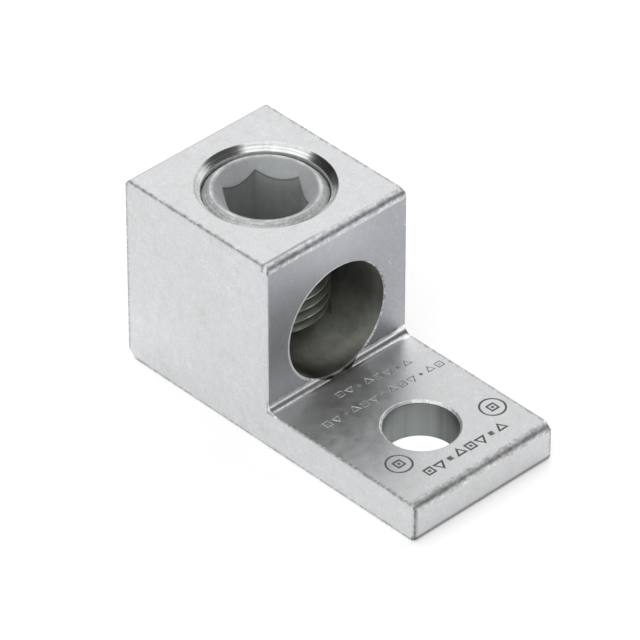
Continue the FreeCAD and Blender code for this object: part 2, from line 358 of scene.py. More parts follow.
def on_bore_rim(place):
    """Whether a place is on the circle where the wire bore meets the front or the back face."""
    on_face = min(abs(place.x - BARREL_FRONT), abs(place.x - LUG_LOW.x)) < 0.02 * MM
    return on_face and abs(math.hypot(place.y, place.z - BORE_Z) - BORE_RADIUS) < 0.05 * MM


def mark_edges(mesh):
    """Weigh the sharp edges for the bevel: the wire bore's rims in full, the stamped marks not."""
    with opened(mesh) as form:
        weight = form.edges.layers.float.new("bevel_weight_edge")
        for edge in form.edges:
            if edge.calc_face_angle(0) < SHARP_FROM:
                continue
            middle = (edge.verts[0].co + edge.verts[1].co) / 2
            if on_sawn_break(edge, middle):
                edge.smooth = True
            elif not stays_sharp(middle):
                edge[weight] = 1.0 if on_bore_rim(middle) else EDGE_BREAK_SHARE


lug_mesh = wear_corners(narrow_sawn_edges(stamp_tang(merged_copy("lug_body"))))
lug = add_piece("lug", lug_mesh, "lug")
smooth_by_angle(lug.data, 22)
mark_edges(lug.data)
edges_broken = lug.modifiers.new("edges_broken", "BEVEL")
edges_broken.width = RIM_BREAK
edges_broken.segments = 2
edges_broken.limit_method = "WEIGHT"
even_shading = lug.modifiers.new("even_shading", "WEIGHTED_NORMAL")
even_shading.keep_sharp = True
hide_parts("lug_body")


# Tapped thread in the screw hole

RIDGE_FOOT = 8.95 * MM
RIDGE_TOP = 7.87 * MM
RIDGE_CLEARANCE = 0.04 * MM
RIDGE_END = 27.6 * MM
STEPS_A_TURN = 96


def tapped_thread_mesh():
    """The ridge left between the tap's grooves, as a closed tube along a helix.

    Its middle runs at a height of the pitch times the angle over a full turn, in step with the
    screw's groove. Its section is a trapezium between two radii with 60 degree flanks. Over the
    last turn its inner radius grows to its foot's, so the thread runs out.
    """
    first = (LEDGE_Z + PITCH / 2 - SCREW_FOOT) / PITCH
    last = (RIDGE_END - SCREW_FOOT) / PITCH
    turns = np.linspace(first, last, int((last - first) * STEPS_A_TURN))
    angle = turns * 2 * math.pi
    middle = SCREW_FOOT + turns * PITCH
    run_out = np.clip(turns - last + 1, 0, 1)
    inner = RIDGE_TOP + (RIDGE_FOOT - 0.01 * MM - RIDGE_TOP) * run_out
    half_outer = GROOVE_MOUTH / 2 - RIDGE_CLEARANCE
    half_inner = half_outer - (HOLE_RADIUS - inner) * FLANK
    foot = np.full_like(inner, RIDGE_FOOT)
    half_foot = np.full_like(inner, half_outer)
    section = [(foot, -half_foot), (inner, -half_inner), (inner, half_inner), (foot, half_foot)]
    points = np.stack([
        np.stack([SCREW_X + r * np.cos(angle), r * np.sin(angle), middle + h], axis=-1)
        for r, h in section
    ], axis=1)
    index, onward = numbered(points)
    return closed_mesh("tapped_thread", points, index, onward, index[[0, -1]].tolist())


def bore_cutter():
    """A closed cylinder along the wire bore, from the back face to past the barrel's front."""
    turn = np.linspace(0, 2 * math.pi, 96, endpoint=False)
    ring_y = BORE_RADIUS * np.cos(turn)
    ring_z = BORE_Z + BORE_RADIUS * np.sin(turn)
    rings = []
    for x, share in ((LUG_LOW.x, 0), (LUG_LOW.x, 1), (0.0, 1), (0.0, 0)):
        across = BORE_Z + (ring_z - BORE_Z) * share
        rings.append(np.stack([np.full_like(turn, x), ring_y * share, across], axis=-1))
    points = np.stack(rings)
    return closed_mesh("bore", points, *numbered(points))


tapped_thread = add_piece("tapped_thread", tapped_thread_mesh(), "lug")
cut_away(tapped_thread, bore_cutter())
smooth_by_angle(tapped_thread.data, 30)


# Set screw

POINT_RADIUS = 8.05 * MM
POINT_HEIGHT = 1.1 * MM
RIM_RADIUS = 7.6 * MM
DISH_RADIUS = 7.0 * MM
DISH_SLOPE = math.tan(math.radians(50))
SOCKET_HALF = 5.25 * MM
SOCKET_DEPTH = 10.5 * MM
PILOT_RADIUS = 5.05 * MM
PILOT_SLOPE = math.tan(math.radians(31))
EDGE_ROUND = 0.06 * MM
THREAD_COLUMNS = 144
THREAD_ROWS = 12


def screw_mesh():
    """The screw as one closed surface of rings, from the middle of its foot to its socket's floor.

    The thread's rings are turns of a helix: a ring's height is its place along the thread plus the
    pitch times the angle over a full turn, and its radius follows the groove's section. Radius and
    height are then held inside the foot's bevel and the top's bevel, so the thread runs out in
    both. At the seam a turn joins the start of the next one. The socket's rings follow a hexagon:
    the flat's distance over the cosine of the angle from the nearest flat's middle.
    """
    columns = THREAD_COLUMNS
    angle = np.linspace(0, 2 * math.pi, columns, endpoint=False)
    turns = SCREW_LENGTH / PITCH + 4
    rows = int(turns * THREAD_ROWS)
    place = (np.arange(rows)[:, None] / THREAD_ROWS + angle[None, :] / (2 * math.pi) - 2) * PITCH
    from_groove = np.abs((place / PITCH + 0.5) % 1 - 0.5) * PITCH
    depth = np.clip((GROOVE_MOUTH / 2 - from_groove) / FLANK, 0, GROOVE_DEPTH)
    radius = CREST_RADIUS - depth
    height = np.clip(place, 0, SCREW_LENGTH)
    foot_cone = POINT_RADIUS + height * (CREST_RADIUS - POINT_RADIUS) / POINT_HEIGHT
    top_cone = RIM_RADIUS + SCREW_LENGTH - height
    radius = np.minimum(radius, np.minimum(foot_cone, top_cone))
    radius = np.where(place <= 0, POINT_RADIUS, radius)
    radius = np.where(place >= SCREW_LENGTH, RIM_RADIUS, radius)

    def rings(pairs):
        """Level rings of a radius and a height, each a number or one value a column."""
        ones = np.ones(columns)
        return [(ones * r, ones * h) for r, h in pairs]

    nearest = np.abs((angle % (math.pi / 3)) - math.pi / 6)
    hexagon = SOCKET_HALF / np.cos(math.pi / 6 - nearest)
    mouth_height = SCREW_LENGTH - (DISH_RADIUS - hexagon) * DISH_SLOPE
    floor = SCREW_LENGTH - SOCKET_DEPTH
    foot = rings([(0, 0), (POINT_RADIUS - 0.4 * MM, 0), (POINT_RADIUS - EDGE_ROUND, 0)])
    top = rings([
        (RIM_RADIUS - EDGE_ROUND, SCREW_LENGTH),
        (DISH_RADIUS + EDGE_ROUND, SCREW_LENGTH),
        (DISH_RADIUS, SCREW_LENGTH - EDGE_ROUND * 0.4),
        (DISH_RADIUS - EDGE_ROUND, SCREW_LENGTH - EDGE_ROUND * DISH_SLOPE),
    ])
    for share in (0.25, 0.5, 0.75, 0.97):
        drop = (mouth_height - SCREW_LENGTH) * share
        top.append((DISH_RADIUS + (hexagon - DISH_RADIUS) * share, SCREW_LENGTH + drop))
    top += [
        (hexagon, mouth_height - 0.04 * MM),
        (hexagon, np.full(columns, floor + 0.1 * MM)),
        (hexagon - 0.1 * MM, np.full(columns, floor)),
    ]
    top += rings([
        (PILOT_RADIUS, floor),
        (PILOT_RADIUS * 0.5, floor - PILOT_RADIUS * 0.5 * PILOT_SLOPE),
        (0, floor - PILOT_RADIUS * PILOT_SLOPE),
    ])
    radii = np.concatenate([[r for r, h in foot], radius, [r for r, h in top]])
    heights = np.concatenate([[h for r, h in foot], height, [h for r, h in top]])
    points = np.stack([
        SCREW_X + radii * np.cos(angle),
        radii * np.sin(angle),
        SCREW_FOOT + heights,
    ], axis=-1)
    index, onward = numbered(points)
    first = len(foot)
    last = first + rows
    seam = np.arange(first, last)
    onward[seam, -1] = index[np.minimum(seam + THREAD_ROWS, last - 1), 0]
    return closed_mesh("set_screw", points, index, onward)


screw = add_piece("set_screw", screw_mesh(), "screw")
smooth_by_angle(screw.data, 28)
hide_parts("clamp_screw")


# Materials


class Graph:
    """Short ways to place nodes in a tree. A value may be a number or another node's output.

    Bounds given to step, fall and inside are in millimetres.
    """

    def __init__(self, tree):
        self.tree = tree

    def node(self, kind, **settings):
        made = self.tree.nodes.new("ShaderNode" + kind)
        for name, value in settings.items():
            setattr(made, name, value)
        return made

    def put(self, socket, value):
        if isinstance(value, bpy.types.NodeSocket):
            self.tree.links.new(value, socket)
        elif value is not None:
            socket.default_value = value

    def math(self, operation, *values):
        made = self.node("Math", operation=operation)
        for socket, value in zip(made.inputs, values):
            self.put(socket, value)
        return made.outputs[0]

    def minus(self, value, less):
        return self.math("SUBTRACT", value, less)

    def product(self, *values):
        """All values multiplied. Of masks, it's where every one of them is on."""
        return reduce(lambda one, other: self.math("MULTIPLY", one, other), values)

    def least(self, *values):
        return reduce(lambda one, other: self.math("MINIMUM", one, other), values)

    def blend(self, share, start, end):
        """From one number to another."""
        made = self.node("Mix", data_type="FLOAT")
        self.put(made.inputs["Factor"], share)
        self.put(made.inputs["A"], start)
        self.put(made.inputs["B"], end)
        return made.outputs["Result"]

    def tint(self, share, start, end):
        """From one colour to another, each a colour output or three numbers."""
        made = self.node("Mix", data_type="RGBA")
        self.put(made.inputs["Factor"], share)
        for socket, colour in ((made.inputs[6], start), (made.inputs[7], end)):
            self.put(socket, (*colour, 1) if isinstance(colour, tuple) else colour)
        return made.outputs[2]

    def shade(self, colour, tone):
        """A colour made darker or lighter by a number."""
        made = self.node("VectorMath", operation="SCALE")
        self.put(made.inputs[0], colour)
        self.put(made.inputs["Scale"], tone)
        return made.outputs[0]

    def toned(self, colour, mask, tone):
        """A colour made darker or lighter where a mask is on."""
        return self.shade(colour, self.blend(mask, 1.0, tone))

    def span(self, value, low, high, start=0.0, end=1.0):
        """A soft step from one number to another while a value goes from low to high."""
        made = self.node("MapRange", interpolation_type="SMOOTHSTEP")
        for name, part in zip(
            ("Value", "From Min", "From Max", "To Min", "To Max"), (value, low, high, start, end)
        ):
            self.put(made.inputs[name], part)
        return made.outputs["Result"]

    def step(self, value, low, high, start=0.0, end=1.0):
        """A span whose bounds are in millimetres."""
        return self.span(value, low * MM, high * MM, start, end)

    def fall(self, value, low, high):
        """A step down from one to nothing."""
        return self.step(value, low, high, 1.0, 0.0)

    def inside(self, distance, radius, low, high):
        """On within a radius. It ends softly between two distances beyond the radius."""
        return self.span(distance, radius + low * MM, radius + high * MM, 1.0, 0.0)

    def noise(self, place, scale, detail=2.0, roughness=0.5, distortion=0.0):
        made = self.node("TexNoise")
        for name, part in (
            ("Vector", place), ("Scale", scale), ("Detail", detail), ("Roughness", roughness),
            ("Distortion", distortion),
        ):
            self.put(made.inputs[name], part)
        return made.outputs["Fac"]

    def mapped(self, place, scale=(1, 1, 1), turn=(0, 0, 0)):
        made = self.node("Mapping")
        self.put(made.inputs["Vector"], place)
        made.inputs["Scale"].default_value = scale
        made.inputs["Rotation"].default_value = [math.radians(angle) for angle in turn]
        return made.outputs["Vector"]

    def apart(self, place):
        made = self.node("SeparateXYZ")
        self.put(made.inputs[0], place)
        return made.outputs["X"], made.outputs["Y"], made.outputs["Z"]

    def gathered(self, **parts):
        """A place made of numbers for its X, Y or Z."""
        made = self.node("CombineXYZ")
        for name, value in parts.items():
            self.put(made.inputs[name], value)
        return made.outputs[0]

    def reach(self, across, along):
        """The distance from an axis: the root of the sum of two squares."""
        squares = [self.product(part, part) for part in (across, along)]
        return self.math("SQRT", self.math("ADD", *squares))

    def group(self, tree, **values):
        made = self.node("Group", node_tree=tree)
        for name, value in values.items():
            self.put(made.inputs[name.replace("_", " ")], value)
        return made.outputs


# Node groups


def make_group(name, inputs, outputs, build):
    """A node group: build takes its graph and input sockets, and gives a value for each output."""
    tree = bpy.data.node_groups.new(name, "ShaderNodeTree")
    for label, value in inputs.items():
        kind = "NodeSocketFloat" if isinstance(value, float) else "NodeSocketVector"
        socket = tree.interface.new_socket(label, in_out="INPUT", socket_type=kind)
        if isinstance(value, float):
            socket.default_value = value
    for label in outputs:
        tree.interface.new_socket(label, in_out="OUTPUT", socket_type="NodeSocketFloat")
    start = tree.nodes.new("NodeGroupInput")
    end = tree.nodes.new("NodeGroupOutput")
    values = build(Graph(tree), start.outputs)
    for label, value in zip(outputs, values):
        tree.links.new(value, end.inputs[label])
    return tree


def build_mottle(graph, given):
    """Plating that clouded as it dried: broad clouds, finer ones, and a grain of small specks."""
    broad = graph.noise(given["Place"], given["Scale"], 3.0, 0.55, 0.4)
    fine = graph.noise(given["Place"], graph.product(given["Scale"], 2.7), 2.0, 0.6)
    grain = graph.noise(given["Place"], graph.product(given["Scale"], 13.0), 1.0, 0.5)
    clouds = graph.blend(0.55, broad, fine)
    mixed = graph.blend(0.25, clouds, grain)
    spread = graph.product(graph.minus(mixed, 0.5), given["Depth"])
    specks = graph.product(graph.span(grain, 0.66, 0.74), graph.span(broad, 0.5, 0.6))
    return graph.math("ADD", 1.0, spread), graph.span(clouds, 0.38, 0.62), grain, specks


def build_cut_lines(graph, given):
    """Lines that a cutter leaves: a sine of the way along over the pitch, shaken by noise."""
    wander = graph.noise(given["Place"], 260.0, 2.0)
    steps = graph.math("DIVIDE", given["Along"], given["Pitch"])
    shaken = graph.math("MULTIPLY_ADD", wander, given["Shake"], steps)
    wave = graph.math("SINE", graph.product(shaken, 2 * math.pi))
    fade = graph.span(graph.noise(given["Place"], 420.0, 2.0), 0.3, 0.7)
    line = graph.math("MULTIPLY_ADD", graph.product(wave, fade), 0.5, 0.5)
    return (line,)


def build_scratches(graph, given):
    """Fine straight scratches two ways: noise drawn out along a line, cut to its highest crests."""
    masks = []
    for turn, seed in ((24, 0.31), (-51, 0.77)):
        drawn = graph.mapped(given["Place"], (260, 5200, 5200), (0, 0, turn))
        lifted = graph.node("VectorMath", operation="ADD")
        graph.put(lifted.inputs[0], drawn)
        lifted.inputs[1].default_value = (seed, seed * 7, seed * 3)
        crest = graph.noise(lifted.outputs[0], 1.0, 1.0)
        masks.append(graph.span(crest, given["Rarity"], graph.math("ADD", given["Rarity"], 0.07)))
    return (graph.math("MAXIMUM", *masks),)


mottle = make_group(
    "mottle", {"Place": None, "Scale": 300.0, "Depth": 0.2}, ("Tone", "Clouds", "Grain", "Specks"),
    build_mottle,
)
cut_lines = make_group(
    "cut_lines", {"Place": None, "Along": 0.0, "Pitch": 0.001, "Shake": 1.0}, ("Line",),
    build_cut_lines,
)
scratches = make_group(
    "scratches", {"Place": None, "Rarity": 0.66}, ("Mask",), build_scratches,
)


def new_material(name):
    """A new material, with its graph, its shader and the place on the piece."""
    material = bpy.data.materials.new(name)
    material.use_nodes = True
    graph = Graph(material.node_tree)
    shader = material.node_tree.nodes["Principled BSDF"]
    place = graph.node("TexCoord").outputs["Object"]
    return material, graph, shader, place


def add_relief(graph, shader, height, depth):
    """Shape the surface by a height between 0 and 1, which stands for a depth in metres."""
    bump = graph.node("Bump")
    bump.inputs["Strength"].default_value = 1.0
    bump.inputs["Distance"].default_value = depth
    graph.put(bump.inputs["Height"], height)
    graph.put(shader.inputs["Normal"], bump.outputs["Normal"])


# Colours of the metal, light and dark where it is clouded. The barrel front's pair is darker as
# painted shade, and the last colour paints glints on corners.
PLATE_LIGHT = (0.735, 0.74, 0.745)
PLATE_DARK = (0.67, 0.68, 0.69)
FRONT_SHADED_LIGHT = (0.47, 0.48, 0.495)
FRONT_SHADED_DARK = (0.38, 0.395, 0.42)
CUT_LIGHT = (0.40, 0.41, 0.37)
CUT_DARK = (0.27, 0.28, 0.25)
WALL_LIGHT = (0.36, 0.385, 0.38)
WALL_DARK = (0.125, 0.13, 0.128)
SINK_METAL = (0.74, 0.745, 0.75)
RIM_BRIGHT = (0.92, 0.93, 0.93)
SCRATCH_BRIGHT = (0.8, 0.8, 0.8)
GLINT_BRIGHT = (0.98, 0.98, 0.98)

# Corners with painted glints, and the middle of the hollow between the tang and the barrel.
GLINT_CORNERS = ((11.35, -12.55, 5.75), (-14.7, -12.6, 5.9), (-16.3, -12.6, 29.45))
HOLLOW_X = -14.8 * MM
HOLLOW_Z = 7.15 * MM
# Where most of a noise's values lie.
SPREAD = (0.35, 0.65)


def distance_from_edges(graph, x, z, side):
    """How far a place is from the sawn edges.

    On a side face it's the distance from that face's outline, elsewhere from the side's plane.
    """
    behind = graph.minus(x, LUG_LOW.x)
    barrel = graph.least(behind, graph.minus(BARREL_FRONT, x), graph.minus(BARREL_TOP, z))
    tang = graph.least(behind, graph.minus(LUG_HIGH.x, x), graph.minus(TANG_TOP, z))
    outline = graph.least(graph.math("MAXIMUM", barrel, tang), z)
    return graph.math("MAXIMUM", graph.minus(HALF_WIDTH, side), outline)


def bore_regions(graph, at):
    """Masks round the wire bore, the screw hole with its countersink, and the bolt hole."""
    x, y, z = at.x, at.y, at.z
    from_bore = graph.reach(y, graph.minus(z, BORE_Z))
    at.from_screw = graph.reach(graph.minus(x, SCREW_X), y)
    at.from_bolt = graph.reach(x, y)
    in_bore = graph.product(
        graph.inside(from_bore, BORE_RADIUS, 0.02, 0.05), graph.fall(x, -15.6, -15.4)
    )
    in_hole = graph.product(
        graph.inside(at.from_screw, HOLE_RADIUS, 0.02, 0.05),
        graph.fall(z, 26, 28), graph.step(z, 3, 4),
    )
    at.in_cut = graph.math("MAXIMUM", in_bore, in_hole)
    at.in_bolt = graph.inside(at.from_bolt, BOLT_RADIUS, 0.02, 0.06)
    at.bolt_rim = graph.product(
        graph.fall(at.from_bolt, 5.5, 5.56), graph.step(at.from_bolt, 5.17, 5.2),
        graph.step(z, 5.5, 5.6),
    )
    # The wire bore's front rim reaches farther on its near side, where its painted highlight is
    # strongest.
    at.near_rim = graph.fall(y, -5, 4)
    rim_reach = graph.math("MULTIPLY_ADD", at.near_rim, 0.16 * MM, BORE_RADIUS + RIM_BREAK * 1.1)
    on_rim = graph.math("GREATER_THAN", rim_reach, from_bore)
    at.rim = graph.product(on_rim, graph.step(x, -16.25, -16.2), graph.fall(x, -15.9, -15.7))
    in_sink = graph.inside(at.from_screw, SINK_RADIUS, 0, 0.03)
    in_lip = graph.span(at.from_screw, HOLE_RADIUS + 0.02 * MM, HOLE_RADIUS + 0.05 * MM)
    at.mouth = graph.product(in_sink, graph.step(z, 27.7, 28.0))
    at.sink = graph.product(in_sink, in_lip, graph.step(z, 28.0, 28.3))
    at.facing = graph.step(graph.minus(y, x), 27, 33)


def lug_regions(graph, place):
    """Where on the lug a place is: its distances from edges and axes, and a mask for each region.

    The masks follow from the place alone. The textures that several colours share are here too.
    """
    at = SimpleNamespace(place=place)
    at.x, at.y, at.z = x, y, z = graph.apart(place)
    at.side = graph.math("ABSOLUTE", y)
    at.off_side = graph.fall(at.side, 12.6, 12.65)
    at.sawn = graph.step(at.side, 12.66, 12.69)
    at.slant = graph.math("MULTIPLY_ADD", y, 0.6, x)
    at.from_edge = distance_from_edges(graph, x, z, at.side)
    bore_regions(graph, at)
    at.front = graph.product(
        graph.span(x, BARREL_FRONT + 0.05 * MM, BARREL_FRONT + 0.6 * MM, 1.0, 0.0),
        graph.fall(z, 28.3, 28.7), graph.step(z, 5, 5.5), at.off_side, graph.step(x, -16.3, -16.05),
    )
    at.sunk = graph.product(
        graph.step(x, -13.6, -13.4), graph.fall(x, 9.6, 9.8), graph.fall(at.side, 12.1, 12.2),
        graph.step(at.from_bolt, 5.6, 5.7), graph.step(z, 5.5, 5.6), graph.fall(z, 5.905, 5.948),
    )
    crown = graph.product(graph.step(x, -17.15, -17.0), graph.step(z, 28.5, 28.65), at.off_side)
    at.tip = graph.product(graph.step(x, 10.5, 10.7), graph.step(z, 4.65, 4.85), at.off_side)
    at.rounded = graph.math("MAXIMUM", crown, at.tip)
    at.hollow = graph.product(
        graph.step(x, -16.1, -16.02), graph.fall(x, -14.75, -14.65),
        graph.step(z, 5.8, 5.9), graph.fall(z, 7.35, 7.5),
    )

    at.clouds = graph.group(mottle, Place=place, Scale=330.0, Depth=1.0)
    at.beads = graph.noise(graph.mapped(place, (1500, 1100, 1500)), 1.0, 3.0, 0.8)
    at.ragged = graph.minus(at.beads, 0.5)
    rings = graph.group(cut_lines, Place=place, Along=x, Pitch=0.32 * MM, Shake=0.7)
    turned = graph.group(cut_lines, Place=place, Along=at.from_screw, Pitch=0.31 * MM, Shake=0.9)
    at.rings, at.turned = rings["Line"], turned["Line"]
    return at


def plate_colour(graph, at):
    """Clouded plating with specks and scratches, with uneven painted shade on the barrel's front,
    and painted light and shade on the tang and the sawn sides.
    """
    x, y, z, clouds = at.x, at.y, at.z, at.clouds
    plate = graph.tint(clouds["Clouds"], PLATE_LIGHT, PLATE_DARK)
    on_tang = graph.product(
        graph.fall(z, 5.96, 6.1), graph.step(z, 4.5, 4.7), graph.step(x, -15.2, -14.8), at.off_side
    )
    # Painted light and shade: the tang's top lighter by the barrel and darker towards the tip, and
    # its end face darker.
    plate = graph.toned(plate, on_tang, graph.step(at.slant, -14, -3, 1.3, 0.9))
    on_end = graph.product(graph.step(x, 11.6, 11.75), graph.fall(z, 4.5, 4.7))
    plate = graph.toned(plate, on_end, 0.86)

    # The barrel's front face gets a darker colour of its own, painted shade, lighter low down, most
    # on its left, and at its top on the left.
    front_shade = graph.tint(clouds["Clouds"], FRONT_SHADED_LIGHT, FRONT_SHADED_DARK)
    low_tone = graph.step(z, 6, 17, graph.step(y, -8, 6, 1.7, 1.15), 1.0)
    high_tone = graph.step(z, 20, 28, 0.96, graph.step(y, -2, 10, 1.25, 1.0))
    front_shade = graph.shade(front_shade, graph.product(low_tone, high_tone))
    colour = graph.tint(at.front, plate, front_shade)

    # Painted shade on the sawn sides, deeper on the barrel's upper back part.
    upper_back = graph.product(graph.step(z, 8, 14), graph.fall(x, -26, -20))
    sawn_painted_shade = graph.blend(at.sawn, 1.0, graph.blend(upper_back, 0.93, 0.905))
    colour = graph.shade(colour, graph.product(clouds["Tone"], sawn_painted_shade))
    colour = graph.tint(graph.product(clouds["Specks"], 0.5), colour, RIM_BRIGHT)
    scratch = graph.group(scratches, Place=at.place, Rarity=0.70)["Mask"]
    return graph.tint(graph.product(scratch, 0.25), colour, SCRATCH_BRIGHT)


def edge_colour(graph, at, colour):
    """Marks and edges darkened as painted shade, with nicks where they are worn."""
    x, z, beads = at.x, at.z, at.beads
    # Painted shade in the stamped marks.
    colour = graph.toned(colour, at.sunk, 0.48)
    # Painted shade along the edges, ragged by noise, and lifted on the barrel front's upright
    # edges.
    uneven = graph.math("MULTIPLY_ADD", at.ragged, 0.8 * MM, at.from_edge)
    edge_painted_shade = graph.step(uneven, 0.0, 0.6, graph.span(beads, *SPREAD, 0.5, 0.86), 1.0)
    edge_shade_lifted = graph.product(
        graph.step(x, -16.9, -16.5), graph.fall(x, -15.6, -15.3),
        graph.step(z, 7, 8), graph.fall(z, 28.3, 28.7),
    )
    colour = graph.shade(colour, graph.blend(edge_shade_lifted, edge_painted_shade, 0.985))
    nicks = graph.product(
        graph.fall(at.from_edge, 0.3, 0.5), graph.step(at.from_edge, 0.05, 0.1),
        graph.span(beads, 0.6, 0.68),
    )
    return graph.tint(graph.product(nicks, 0.6), colour, RIM_BRIGHT)


def corner_colour(graph, at, colour):
    """The rounded corners and the barrel's back edge: beaten by tumbling, with painted shade and
    light, and a darker back edge.
    """
    x, y, z = at.x, at.y, at.z
    colour = graph.toned(colour, at.rounded, graph.span(at.beads, 0.32, 0.68, 0.68, 1.2))
    # Painted shade: a dark line along the crown's near half.
    crown_line = graph.product(
        graph.step(x, -17.4, -17.25), graph.fall(x, -16.98, -16.88),
        graph.step(z, 28.5, 28.65), graph.fall(y, -6, 0),
    )
    colour = graph.toned(colour, crown_line, 0.58)
    # Painted shade on the tip's round, with painted light in the middle of its end.
    tip_tone = graph.step(x, 10.65, 10.95, 1.0, graph.step(y, -10, 6, 0.78, 0.88))
    crest_tone = graph.blend(graph.fall(at.side, 1.5, 5.5), 1.0, 1.15)
    tip_tone = graph.blend(graph.step(x, 11.0, 11.35), tip_tone, crest_tone)
    colour = graph.toned(colour, at.tip, tip_tone)
    # The barrel's back top edge is darker.
    back_edge = graph.product(graph.fall(x, -43.3, -42.7), graph.step(z, 28.7, 28.8))
    colour = graph.toned(colour, back_edge, 0.82)
    # Painted shade low on the tip, where it meets the floor, and at its near corner.
    foot_height = graph.math("MULTIPLY_ADD", at.beads, -0.2 * MM, z)
    tip_foot = graph.step(foot_height, 0.4, 0.95, 0.4, 1.0)
    colour = graph.toned(colour, graph.step(x, 11.1, 11.25), tip_foot)
    near_corner = graph.product(graph.step(x, 11.65, 11.75), graph.fall(y, -12.5, -11.8))
    return graph.toned(colour, near_corner, 0.72)


def hollow_colour(graph, at, colour):
    """The hollow where the tang meets the barrel: a painted highlight along it, and beside it a
    mottled tone, lighter on one side as painted light.
    """
    turn = graph.math("ARCTAN2", graph.minus(HOLLOW_Z, at.z), graph.minus(HOLLOW_X, at.x))
    turn = graph.math("MULTIPLY_ADD", at.ragged, 0.6, turn)
    lit = graph.product(
        at.hollow, graph.span(turn, -0.15, 0.1), graph.span(turn, 0.65, 0.82, 1.0, 0.0)
    )
    colour = graph.tint(lit, colour, RIM_BRIGHT)
    beside = graph.product(
        graph.span(at.beads, *SPREAD, 0.88, 1.15), graph.span(turn, 0.95, 1.2, 1.0, 1.35)
    )
    return graph.toned(colour, at.hollow, beside)


def painted_highlight_colour(graph, at, colour):
    """Painted highlights: glints on three corners, and along the wire bore's front rim, most on its
    near side.
    """
    for corner in GLINT_CORNERS:
        gap = graph.node("VectorMath", operation="DISTANCE")
        graph.put(gap.inputs[0], at.place)
        gap.inputs[1].default_value = Vector(corner) * MM
        colour = graph.tint(graph.fall(gap.outputs["Value"], 0.2, 0.4), colour, GLINT_BRIGHT)
    # The rim's painted highlight: full on its near side, patchy beyond.
    worn = graph.blend(at.near_rim, graph.span(at.beads, 0.4, 0.6), 0.9)
    return graph.tint(graph.product(at.rim, worn), colour, RIM_BRIGHT)


def bore_colour(graph, at, colour):
    """Cut metal in the wire bore and the screw hole, with cutter lines and uneven painted light and
    shade.
    """
    x, y, z = at.x, at.y, at.z
    clouds = graph.group(mottle, Place=at.place, Scale=230.0, Depth=0.5)
    cut = graph.tint(graph.blend(0.5, clouds["Clouds"], at.rings), CUT_LIGHT, CUT_DARK)
    # Painted light and shade inside the bore, set by place.
    to_mouth = graph.math("MULTIPLY_ADD", y, -0.35, x)
    low_tone = graph.product(
        graph.step(x, -25.8, -22.3, 1.75, 2.45),
        graph.step(x, -22, -19.5, 1.0, 0.8),
        graph.step(to_mouth, -20.5, -16.6, 1.0, 0.25),
        graph.step(y, -4, 0, 0.4, 1.0),
    )
    high_tone = graph.product(graph.step(z, 8, 14, 1.2, 0.6), graph.step(x, -20, -17, 1.0, 1.35))
    cut = graph.shade(cut, graph.blend(graph.step(z, 6.2, 9), low_tone, high_tone))
    return graph.tint(graph.product(at.in_cut, graph.minus(1.0, at.rim)), colour, cut)


def bolt_colour(graph, at, colour):
    """The punched bolt hole: a banded wall, darker towards the tip as painted shade, with an uneven
    rim lightened as a painted highlight.
    """
    bands = graph.noise(graph.gathered(X=graph.math("ARCTAN2", at.y, at.x)), 3.1, 3.0, 0.6)
    # Painted shade on the wall, growing towards the tip.
    shaded_toward_tip = graph.step(at.slant, -3, 6.5)
    share = graph.math("MULTIPLY_ADD", graph.minus(bands, 0.5), 1.1, shaded_toward_tip)
    colour = graph.tint(at.in_bolt, colour, graph.tint(share, WALL_LIGHT, WALL_DARK))
    # The rim's colour is a painted highlight.
    rim = graph.shade(RIM_BRIGHT, graph.span(at.beads, *SPREAD, 0.7, 1.05))
    return graph.tint(at.bolt_rim, colour, rim)


def sink_colour(graph, at, colour):
    """The countersink: turned lines crossed by chatter, lighter in specks on its near half as
    painted light, with a broken dark line inside.
    """
    around = graph.gathered(X=graph.math("ARCTAN2", at.y, graph.minus(at.x, SCREW_X)))
    chatter = graph.noise(around, 5.0, 4.0, 0.7)
    # The near half gets lighter specks as painted light.
    tone = graph.product(
        graph.span(chatter, 0.3, 0.7, 0.9, 1.08),
        graph.span(at.turned, 0.0, 1.0, 0.84, 1.08),
        graph.blend(at.facing, graph.span(at.beads, 0.3, 0.7, 1.0, 1.4), 1.0),
    )
    colour = graph.tint(at.mouth, colour, graph.shade(SINK_METAL, tone))
    inner_line = graph.product(
        graph.step(at.from_screw, 9.35, 9.45), graph.fall(at.from_screw, 9.6, 9.68),
        graph.step(at.z, 28.5, 28.6), graph.span(at.beads, 0.3, 0.6, 0.2, 0.9),
    )
    return graph.toned(colour, inner_line, 0.72)


def lug_roughness(graph, at):
    """How rough each region is. Where two meet, the later one in the list covers the other."""
    rough = graph.math("MULTIPLY_ADD", at.clouds["Clouds"], 0.05, 0.34)
    for mask, value in (
        (at.front, 0.46),
        (graph.fall(at.from_edge, 0.1, 0.3), 0.6),
        (at.rounded, 0.42),
        (at.sunk, 0.75),
        (at.in_cut, 0.7),
        (at.rim, 0.6),
        (at.hollow, 0.3),
        (at.in_bolt, 0.42),
        (at.bolt_rim, 0.5),
        (at.mouth, 0.6),
        (at.sink, graph.blend(at.facing, 0.6, 0.2)),
    ):
        rough = graph.blend(mask, rough, value)
    return rough


